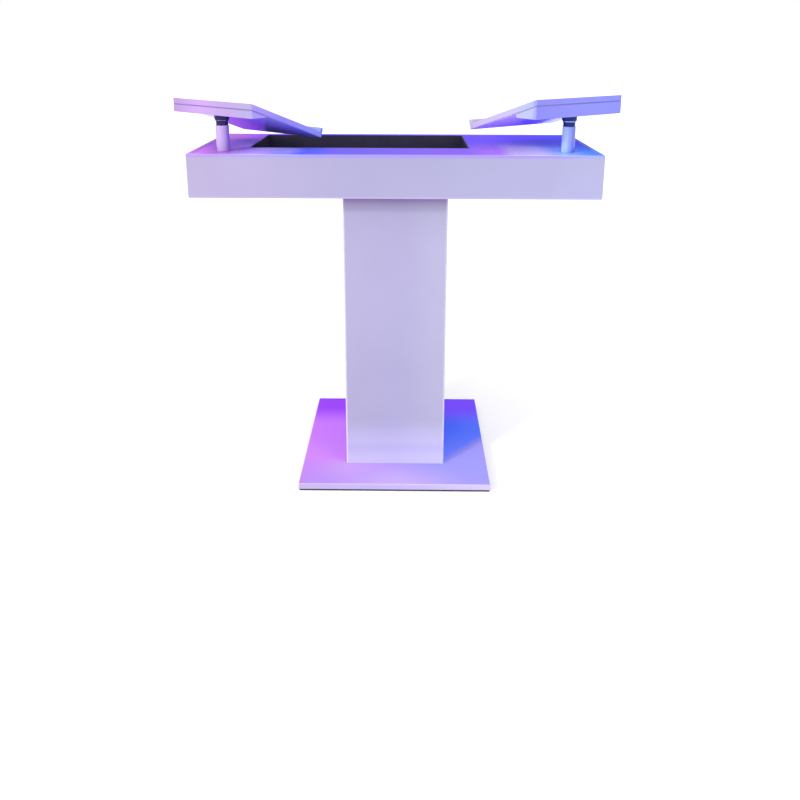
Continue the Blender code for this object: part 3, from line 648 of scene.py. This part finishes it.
def cross_recessed(centre, tip, around=64, rings=18):
    """A pan head facing +Y, with a cross sunk in it, and a shank behind it.

    The head is a dome of height h (1 - f (r/R)^4), where f is the share that it falls to its rim. The cross is
    deep where the smaller of |x| and |y| is up to 0.3 of its half width, and its walls end at 1.3 of it. Its
    depth falls with 1 - (r/reach)^2 to nothing.
    """
    angle = np.linspace(0.0, 2 * math.pi, around, endpoint=False)
    radius = np.linspace(0.0, 1.0, rings) ** 0.8 * HEAD_RADIUS
    x = radius[:, None] * np.cos(angle)
    y = radius[:, None] * np.sin(angle)
    dome_height = SEAM + HEAD_HEIGHT * (1.0 - HEAD_FALL * (radius / HEAD_RADIUS) ** 4)[:, None]
    nearer = np.minimum(np.abs(x), np.abs(y))
    slot_share = np.clip(RECESS_WALL - nearer / RECESS_WIDTH, 0.0, 1.0)
    depth = RECESS_DEPTH * slot_share * np.clip(1.0 - (radius / RECESS_REACH) ** 2, 0.0, 1.0)[:, None]
    below = [(HEAD_RADIUS, SEAM), (SHANK_RADIUS, SEAM), (SHANK_RADIUS, tip + SHANK_POINT), (0.0, tip)]
    below = np.array(below)
    x = np.concatenate([x, below[:, :1] * np.cos(angle)])
    y = np.concatenate([y, below[:, :1] * np.sin(angle)])
    z = np.concatenate([dome_height - depth, np.broadcast_to(below[:, 1:], (len(below), around))])
    points = np.stack([x, z, -y], 2).reshape(-1, 3) + np.array(centre)
    faces = [face[::-1] for face in grid_faces(rings + len(below), around)]
    return points, faces, np.zeros(len(points))


for number in range(1, 5):
    node = f"cover_screw_{number}"
    low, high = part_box(node)
    face = high[1] - SEAM - HEAD_HEIGHT
    surface = cross_recessed(((low[0] + high[0]) / 2, face, (low[2] + high[2]) / 2), low[1] - face)
    made(node + "_finished", surface, "stand", "fixing_steel", zinc, node)

# Top box: four MDF boards glued and screwed round the deck, the front and rear ones over the ends, with their
# outer edges rounded by 4 mm, then sprayed. Upright faces are an even lavender of painted stage light, and
# upper edges take the deck's painted stage light, magenta violet on the left and blue on the right.
BOX_EDGE = 0.004
# Rows up the front: a painted highlight along the bottom edge, and the deck's painted violet light along the
# top edge.
BOX_ROWS = [
    (0.963, [(-0.625, "#ACA0C4"), (0.0, "#A89EC4"), (0.625, "#AAA4CC")]),
    (0.969, [(-0.625, "#A096B8"), (0.0, "#9693B5"), (0.625, "#9C9ABF")]),
    (1.082, [(-0.625, "#A096B8"), (0.0, "#9592B4"), (0.625, "#9B9ABE")]),
    (
        1.090,
        [(-0.625, "#9A88C4"), (-0.35, "#8E8CCB"), (-0.2, "#9084CC"), (0.4, "#9184CA"), (0.625, "#9093CC")],
    ),
]
# Painted stage light over the deck, magenta violet on the left and blue on the right; the pale stops near the
# trays are painted reflections of them, and the dark stop at -0.53 is painted shade by the left post.
DECK_ROWS = [
    (
        -0.14,
        [
            (-0.60, "#D276F0"),
            (-0.53, "#A866CC"),
            (-0.42, "#D2B6F4"),
            (-0.34, "#9C98F2"),
            (-0.27, "#4751F6"),
            (-0.17, "#6654E4"),
            (0.20, "#7C56E8"),
            (0.31, "#A46CF4"),
            (0.37, "#C6B4F0"),
            (0.44, "#CBC6F8"),
            (0.50, "#92B4FC"),
            (0.60, "#3A84FA"),
        ],
    ),
    (
        0.08,
        [
            (-0.60, "#B060D8"),
            (-0.40, "#7A10FF"),
            (-0.28, "#452CFF"),
            (0.30, "#6038FF"),
            (0.42, "#4A20FF"),
            (0.60, "#2A28FF"),
        ],
    ),
]
# The same polished lacquer as on the column, a little thinner in its gloss.
box_coat, shader, spot = begin("polished gloss lacquer on box boards")
shader.inputs["IOR"].default_value = 1.3
place = add(box_coat, "SeparateXYZ", {"Vector": spot})
box_upright = paint_field(box_coat, place.outputs["X"], place.outputs["Z"], BOX_ROWS)
box_up = paint_field(box_coat, place.outputs["X"], place.outputs["Y"], DECK_ROWS)
coat(box_coat, shader, spot, by_facing(box_coat, box_upright, box_up), peel=0.003, gloss=0.07, wear_and_highlight=0.04)
board("top_front", "stand", "box_lacquer", box_coat, 0, (0, 3), (0, 2, 3), BOX_EDGE)
board("top_rear", "stand", "box_lacquer", box_coat, 0, (1, 2), (0, 1, 2), BOX_EDGE)
board("top_end_left", "stand", "box_lacquer", box_coat, 1, (0, 1), (), BOX_EDGE)
board("top_end_right", "stand", "box_lacquer", box_coat, 1, (2, 3), (), BOX_EDGE)
redress("top_floor", box_coat)

# Deck: one lacquered board let in a millimetre below the rim, glued on its battens and cut out for the well.
# Its colours are painted stage light, with painted reflections of the trays as pale patches and a painted
# shade by the left post. Its gloss is thin, so that these colours stay deep when it is seen along its surface.
deck_coat, shader, spot = begin("polished gloss lacquer on the deck")
shader.inputs["IOR"].default_value = 1.06
place = add(deck_coat, "SeparateXYZ", {"Vector": spot})
deck_colour = paint_field(deck_coat, place.outputs["X"], place.outputs["Y"], DECK_ROWS)
coat(deck_coat, shader, spot, deck_colour, peel=0.003, gloss=0.08)
redress("deck", deck_coat)

# Well liner: an open tray moulded in the same black plastic as the ports, with a cable slot in its floor. It
# is let into the deck and rests on two bearers.
redress("well_liner", abs_black)


# Posts: a black steel core bolted through the deck, a sleeve of thin steel tube over it, a bright ring and a
# swivel hub. Turned and coated steel, all round and concentric.
def post_steel(name, colour, worn):
    """Satin black coated steel in the tints given, paler in rubs of about 8 mm, its fine grain drawn at 1 mm.
    """
    material, shader, spot = begin(name)
    shader.inputs["IOR"].default_value = 1.33
    rubs = add(material, "TexNoise", {"Vector": spot, "Scale": 120.0, "Detail": 5.0, "Roughness": 0.65})
    rubs = rubs.outputs["Fac"]
    share = add(material, "MapRange", {"Value": rubs, "From Min": 0.5, "From Max": 0.75})
    tone = add(
        material,
        "Mix",
        {"Factor": share.outputs["Result"], A_COLOUR: linear(colour), B_COLOUR: linear(worn)},
        data_type="RGBA",
    )
    rough = add(material, "MapRange", {"Value": rubs, "To Min": 0.16, "To Max": 0.36})
    grain = add(material, "TexNoise", {"Vector": spot, "Scale": 1000.0, "Detail": 2.0}).outputs["Fac"]
    bump = add(material, "Bump", {"Height": grain, "Strength": 0.15, "Distance": 0.0001})
    lead_in(material, shader, tone, rough, bump)
    return material


def polished_chrome(name, colour, streak):
    """Chrome plate over a turned ring: a mirror with hair-fine turning lines round it, drawn at 0.3 mm."""
    material, shader, spot = begin(name)
    shader.inputs["Metallic"].default_value = 1.0
    height = add(material, "SeparateXYZ", {"Vector": spot}).outputs["Z"]
    lines = add(material, "TexNoise", {"W": height, "Scale": 3300.0, "Detail": 1.0}, noise_dimensions="1D")
    lines = lines.outputs["Fac"]
    tone = add(
        material,
        "Mix",
        {"Factor": lines, A_COLOUR: linear(colour), B_COLOUR: linear(streak)},
        data_type="RGBA",
    )
    rough = add(material, "MapRange", {"Value": lines, "To Min": 0.05, "To Max": 0.14})
    bump = add(material, "Bump", {"Height": lines, "Strength": 0.1, "Distance": 0.00005})
    lead_in(material, shader, tone, rough, bump)
    return material


# The dark steel and the chrome carry a painted tint of the stage light, violet on the left and blue on the
# right, a painted reflection on the chrome.
CORE_PAINTED_TINTS = {"left": ("#1C1048", "#2E2460"), "right": ("#061E6A", "#163480")}
CHROME_PAINTED_TINTS = {"left": ("#665A98", "#544A88"), "right": ("#8A9ADE", "#7C8CD2")}
# Stops across each sleeve, from its left to its right: painted light and shade round the tube, the right one
# with a painted highlight on the side that faces in.
SLEEVE_STOPS = (-0.020, -0.009, 0.0, 0.010, 0.020)
SLEEVE_PAINTED_LIGHT = {
    "left": ("#A884C8", "#B89ECE", "#B199CE", "#AC94CC", "#A078D8"),
    "right": ("#B4D2E8", "#A0B4DC", "#8090D4", "#6674D2", "#505CCA"),
}
SLEEVE_RADIUS = 0.0200
SLEEVE_BORE = 0.0185
NECK_RADIUS = 0.0182
SPIGOT_RADIUS = 0.0080
SPIGOT_BORE = 0.0083
RING_RADIUS = 0.0205
HUB_RADIUS = 0.0225
HUB_HEIGHT = 0.013
HUB_BORE_DEPTH = 0.0103
PIN_RADIUS = 0.0060
post_axes = {}
head_tops = {}
for side in ("left", "right"):
    low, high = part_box(side + "_post_sleeve")
    axis = ((low[0] + high[0]) / 2, (low[1] + high[1]) / 2, 0.0)
    foot, sleeve_top = low[2], high[2]
    stud_end, spigot_top = (corner[2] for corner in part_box(side + "_post_core"))
    ring_under, ring_top = (corner[2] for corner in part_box(side + "_post_ring"))
    hub_under, pin_top = (corner[2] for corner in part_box(side + "_swivel_hub"))
    neck_top = ring_under - SEAM
    hub_top = hub_under + HUB_HEIGHT
    bore_top = hub_under + HUB_BORE_DEPTH
    post_axes[side] = axis
    head_tops[side] = hub_top + SEAM
    # Gloss powder coat, as on the base plate: a slight orange peel of about 2 mm.
    sleeve_coat, shader, spot = begin("gloss powder coat on " + side + " sleeve")
    shader.inputs["IOR"].default_value = 1.45
    stops = [(axis[0] + offset, tint) for offset, tint in zip(SLEEVE_STOPS, SLEEVE_PAINTED_LIGHT[side])]
    across = add(sleeve_coat, "SeparateXYZ", {"Vector": spot}).outputs["X"]
    sleeve_colour = paint_field(sleeve_coat, across, None, [(0.0, stops)])
    coat(sleeve_coat, shader, spot, sleeve_colour, peel=0.002, gloss=0.1)
    core_steel = post_steel("satin black coated steel " + side, *CORE_PAINTED_TINTS[side])
    chrome = polished_chrome("polished chrome " + side, *CHROME_PAINTED_TINTS[side])
    sleeve = [
        (SLEEVE_BORE, sleeve_top),
        (SLEEVE_RADIUS, sleeve_top),
        (SLEEVE_RADIUS, foot),
        (SLEEVE_BORE, foot),
    ]
    surface = lathed(softened(sleeve, (0.0004, 0.0008, 0.0003, 0.0003), True), axis, closed=True)
    made(side + "_sleeve_finished", surface, "stand", "sleeve_coating", sleeve_coat, side + "_post_sleeve")
    core = [
        (0.0, spigot_top),
        (SPIGOT_RADIUS, spigot_top),
        (SPIGOT_RADIUS, neck_top),
        (NECK_RADIUS, neck_top),
        (NECK_RADIUS, foot),
        (SPIGOT_RADIUS, foot),
        (SPIGOT_RADIUS, stud_end),
        (0.0, stud_end),
    ]
    surface = lathed(softened(core, (0.0, 0.0008, 0.0003, 0.0012, 0.0004, 0.0003, 0.001, 0.0), False), axis)
    made(side + "_core_finished", surface, "stand", "black_steel", core_steel, side + "_post_core")
    ring = [
        (SPIGOT_BORE, ring_top),
        (RING_RADIUS, ring_top),
        (RING_RADIUS, ring_under),
        (SPIGOT_BORE, ring_under),
    ]
    surface = lathed(softened(ring, (0.0003, 0.0012, 0.0012, 0.0003), True), axis, closed=True)
    made(side + "_ring_finished", surface, "stand", "ring_chrome", chrome, side + "_post_ring")
    hub = [
        (0.0, pin_top),
        (PIN_RADIUS, pin_top),
        (PIN_RADIUS, hub_top),
        (HUB_RADIUS, hub_top),
        (HUB_RADIUS, hub_under),
        (SPIGOT_BORE, hub_under),
        (SPIGOT_BORE, bore_top),
        (0.0, bore_top),
    ]
    surface = lathed(softened(hub, (0.0, 0.0008, 0.0003, 0.0014, 0.0014, 0.0004, 0.0004, 0.0), False), axis)
    made(side + "_hub_finished", surface, side + "_tray", "black_steel", core_steel, side + "_swivel_hub")

# Trays: a lacquered board that slopes towards the player on a level wedge, with a rounded lip glued along its
# low edge and a ribbed rubber pad on it. Their colours are painted stage light, lilac on the left and a bluer
# lavender on the right, with lit and shaded upright faces and undersides in painted bounce light.
TRAY_LENGTH = 0.375
TRAY_SLOPE = 0.290
TRAY_BOARD = 0.018
TRAY_EDGE = 0.0015
TRAY_FRONT = -0.030
TRAY_SHIFT = {"left": -0.012, "right": 0.012}
TRAY_TURN = {"left": math.radians(-38.7), "right": math.radians(36.6)}
TRAY_TILT = {"left": math.radians(20.5), "right": math.radians(18.0)}
WEDGE_HEIGHT = {"left": 0.024, "right": 0.038}
WEDGE_DEPTH = {"left": 0.056, "right": 0.080}
FINE_EDGE = 0.0011
LIP_THICKNESS = 0.012
LIP_RISE = 0.013
LIP_ROUND = 0.005
PAD_THICKNESS = 0.002
PAD_MARGIN = 0.014
RIB_PITCH = 0.006
RIB_GROOVE = 0.0009
JOINT_LINE = 0.003
JOINT_SHADE = 0.3
# Stops along X. The upright faces change colour at the tray's near corner, from its front to its inner end:
# the face turned to the key light is painted lit and the other is in painted shade.
TRAY_UPRIGHT = {
    "left": [
        (-0.70, "#A07EBC"),
        (-0.60, "#B08CCC"),
        (-0.50, "#A28ABF"),
        (-0.415, "#988FBC"),
        (-0.40, "#9078E0"),
        (-0.33, "#7C74DC"),
        (-0.24, "#8A93E2"),
    ],
    "right": [
        (0.23, "#C0B1D2"),
        (0.32, "#B6AFD2"),
        (0.39, "#A2AAD1"),
        (0.41, "#7978D8"),
        (0.55, "#7A7DDA"),
        (0.72, "#787BDE"),
    ],
}
# Undersides take painted light bounced up from the deck, and faces that look up the painted stage light.
TRAY_UNDER = {
    "left": [(-0.70, "#A884FF"), (-0.50, "#8A7EFF"), (-0.41, "#9A8CFF"), (-0.25, "#9A90FF")],
    "right": [
        (0.25, "#FFF4FF"),
        (0.37, "#FAE6FF"),
        (0.44, "#B49CFF"),
        (0.53, "#6C66FF"),
        (0.70, "#5A54FF"),
    ],
}
TRAY_UP = {
    "left": [(-0.80, "#A080D0"), (-0.24, "#8884D8")],
    "right": [(0.24, "#9890D4"), (0.80, "#8086DC")],
}
# Moulded rubber: dead matt black, a little darker than the mat, its pebbles drawn at 3 mm so that they show.
pad_rubber = black_rubber("moulded ribbed rubber pad", 0.003, "#16141C", "#26232C")


def tray_piece(kind, side, outline, radii, end_radius, length, slot, material):
    """An outline of (y, z) carried along the tray's length, rounded if it has radii, then turned on its post.

    The turn takes (x, y) to (x cos a - y sin a, x sin a + y cos a).
    """
    ends = (TRAY_SHIFT[side] - length / 2, TRAY_SHIFT[side] + length / 2)
    if radii is None:
        section = np.stack(outline, 1)
        points = np.concatenate([np.insert(section, 0, end, axis=1) for end in ends])
        faces, rim = grid_faces(2, len(section), caps=True), np.zeros(len(points))
    else:
        points, faces, rim = carried(outline, radii, ends, [end_radius] * len(outline))
    cos, sin = math.cos(TRAY_TURN[side]), math.sin(TRAY_TURN[side])
    spin = np.array([[cos, -sin, 0.0], [sin, cos, 0.0], [0.0, 0.0, 1.0]])
    points = points @ spin.T + np.array([*post_axes[side][:2], head_tops[side]])
    name = f"{side}_tray_{kind}"
    made(name + "_finished", (points, faces, rim), side + "_tray", slot, material, name)


def ribbed(start, end, steps=8):
    """The pad's section as (distance down the slope s, height), with ribs of pitch p and grooves of depth g.

    The top is h - g (0.5 - 0.5 cos(2 pi s / p))^4.
    """
    ribs = round((end - start) / RIB_PITCH)
    share = np.linspace(0.0, ribs, ribs * steps + 1)
    crown = SEAM + PAD_THICKNESS - RIB_GROOVE * (0.5 - 0.5 * np.cos(2 * math.pi * share)) ** 4
    down = start + (end - start) * share / ribs
    foot = np.array([(start, SEAM), (end, SEAM)])
    return np.concatenate([foot, np.stack([down, crown], 1)[::-1]])


for side in ("left", "right"):
    turn, tilt = TRAY_TURN[side], TRAY_TILT[side]
    run, fall = math.cos(tilt), math.sin(tilt)
    wedge_height, wedge_back = WEDGE_HEIGHT[side], TRAY_FRONT + WEDGE_DEPTH[side]
    under = wedge_height + SEAM
    top = under + TRAY_BOARD / run

    def on_slope(along, above):
        """A point a distance down the tray's top face from its high edge, and above that face."""
        return (TRAY_FRONT + along * run + above * fall, top - along * fall + above * run)

    # Sprayed and polished lacquer, as on the column.
    tray_coat, shader, spot = begin("polished gloss lacquer on " + side + " tray")
    shader.inputs["IOR"].default_value = 1.45
    across = add(tray_coat, "SeparateXYZ", {"Vector": spot}).outputs["X"]
    upright, up, below = [
        paint_field(tray_coat, across, None, [(0.0, stops[side])])
        for stops in (TRAY_UPRIGHT, TRAY_UP, TRAY_UNDER)
    ]
    # A dark line is painted along the joint between board and wedge on upright faces: painted shade in the
    # seam.
    square_up = (-math.sin(turn) * fall, math.cos(turn) * fall, run)
    on_joint = np.dot(square_up, (*post_axes[side][:2], head_tops[side] + under)) + TRAY_FRONT * fall
    off_joint = add(tray_coat, "VectorMath", {0: spot, 1: square_up}, operation="DOT_PRODUCT")
    off_joint = add(tray_coat, "Math", {0: off_joint.outputs["Value"], 1: on_joint}, operation="SUBTRACT")
    off_joint = add(tray_coat, "Math", {0: off_joint.outputs[0]}, operation="ABSOLUTE").outputs[0]
    line = add(
        tray_coat,
        "MapRange",
        {"Value": off_joint, "From Min": 0.0, "From Max": JOINT_LINE, "To Min": JOINT_SHADE, "To Max": 1.0},
        interpolation_type="SMOOTHSTEP",
    )
    upright = add(tray_coat, "VectorMath", {0: upright, "Scale": line.outputs["Result"]}, operation="SCALE")
    tray_colour = by_facing(tray_coat, upright.outputs["Vector"], up, below)
    coat(tray_coat, shader, spot, tray_colour, peel=0.003, gloss=0.08, wear_and_highlight=0.1)
    wedge = [
        (TRAY_FRONT, 0.0),
        (wedge_back, 0.0),
        (wedge_back, wedge_height - WEDGE_DEPTH[side] * math.tan(tilt)),
        (TRAY_FRONT, wedge_height),
    ]
    tray_piece("wedge", side, wedge, [FINE_EDGE] * 4, FINE_EDGE, TRAY_LENGTH, "tray_lacquer", tray_coat)
    tray_board = [
        (TRAY_FRONT, under),
        on_slope(TRAY_SLOPE, -TRAY_BOARD),
        on_slope(TRAY_SLOPE, 0.0),
        (TRAY_FRONT, top),
    ]
    tray_piece("board", side, tray_board, [TRAY_EDGE] * 4, TRAY_EDGE, TRAY_LENGTH, "tray_lacquer", tray_coat)
    lip_start = TRAY_SLOPE + SEAM
    lip_end = lip_start + LIP_THICKNESS
    lip = [
        on_slope(lip_start, -TRAY_BOARD),
        on_slope(lip_end, -TRAY_BOARD),
        on_slope(lip_end, LIP_RISE),
        on_slope(lip_start, LIP_RISE),
    ]
    lip_radii = [FINE_EDGE, FINE_EDGE, LIP_ROUND, LIP_ROUND]
    tray_piece("lip", side, lip, lip_radii, FINE_EDGE, TRAY_LENGTH, "tray_lacquer", tray_coat)
    pad = on_slope(*ribbed(PAD_MARGIN, TRAY_SLOPE - PAD_MARGIN).T)
    tray_piece("pad", side, pad, None, None, TRAY_LENGTH - 2 * PAD_MARGIN, "pad_rubber", pad_rubber)
